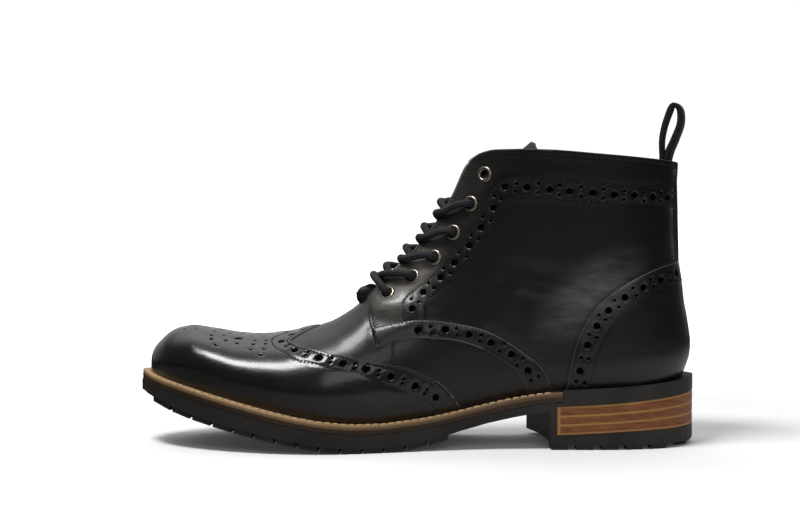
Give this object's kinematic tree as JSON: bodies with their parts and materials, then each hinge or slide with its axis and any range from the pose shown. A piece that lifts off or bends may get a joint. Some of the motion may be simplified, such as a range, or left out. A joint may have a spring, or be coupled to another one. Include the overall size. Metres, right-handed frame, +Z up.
{
  "type": "brogue boot",
  "caption": "Left wing-tip derby ankle boot with brogue punching, an eyelet lacing, a storm welt, a stacked heel and a lugged rubber sole; it stands empty, open at the collar.",
  "frame": {"origin": "on the floor, at the centre of the flat pad of the heel tread", "axes": "+Z up; -X towards the toe; -Y towards the outer side of the left foot"},
  "size_m": [0.3059, 0.105, 0.1871],
  "materials": {
    "black_calf": "semi-gloss",
    "insole_leather": "matte",
    "welt_leather": "satin",
    "brown_midsole": "matte",
    "black_rubber": "matte",
    "stacked_leather": "satin",
    "nickel_eyelet": "polished",
    "braided_lace": "matte",
    "woven_tape": "matte"
  },
  "bodies": {
    "root": {"upper": "black_calf", "quarter_outer": "black_calf", "quarter_inner": "black_calf", "wing_cap": "black_calf", "heel_counter": "black_calf", "tongue": "black_calf", "insole": "insole_leather", "welt": "welt_leather", "midsole": "brown_midsole", "outsole": "black_rubber", "heel_lift_1": "stacked_leather", "heel_lift_2": "stacked_leather", "heel_lift_3": "stacked_leather", "eyelet_outer_1": "nickel_eyelet", "eyelet_inner_1": "nickel_eyelet", "eyelet_outer_2": "nickel_eyelet", "eyelet_inner_2": "nickel_eyelet", "eyelet_outer_3": "nickel_eyelet", "eyelet_inner_3": "nickel_eyelet", "eyelet_outer_4": "nickel_eyelet", "eyelet_inner_4": "nickel_eyelet", "eyelet_outer_5": "nickel_eyelet", "eyelet_inner_5": "nickel_eyelet", "eyelet_outer_6": "nickel_eyelet", "eyelet_inner_6": "nickel_eyelet", "lace_bar": "braided_lace", "lace_cross_1": "braided_lace", "lace_cross_2": "braided_lace", "lace_cross_3": "braided_lace", "lace_cross_4": "braided_lace", "pull_loop": "woven_tape"}
  },
  "joints": []
}
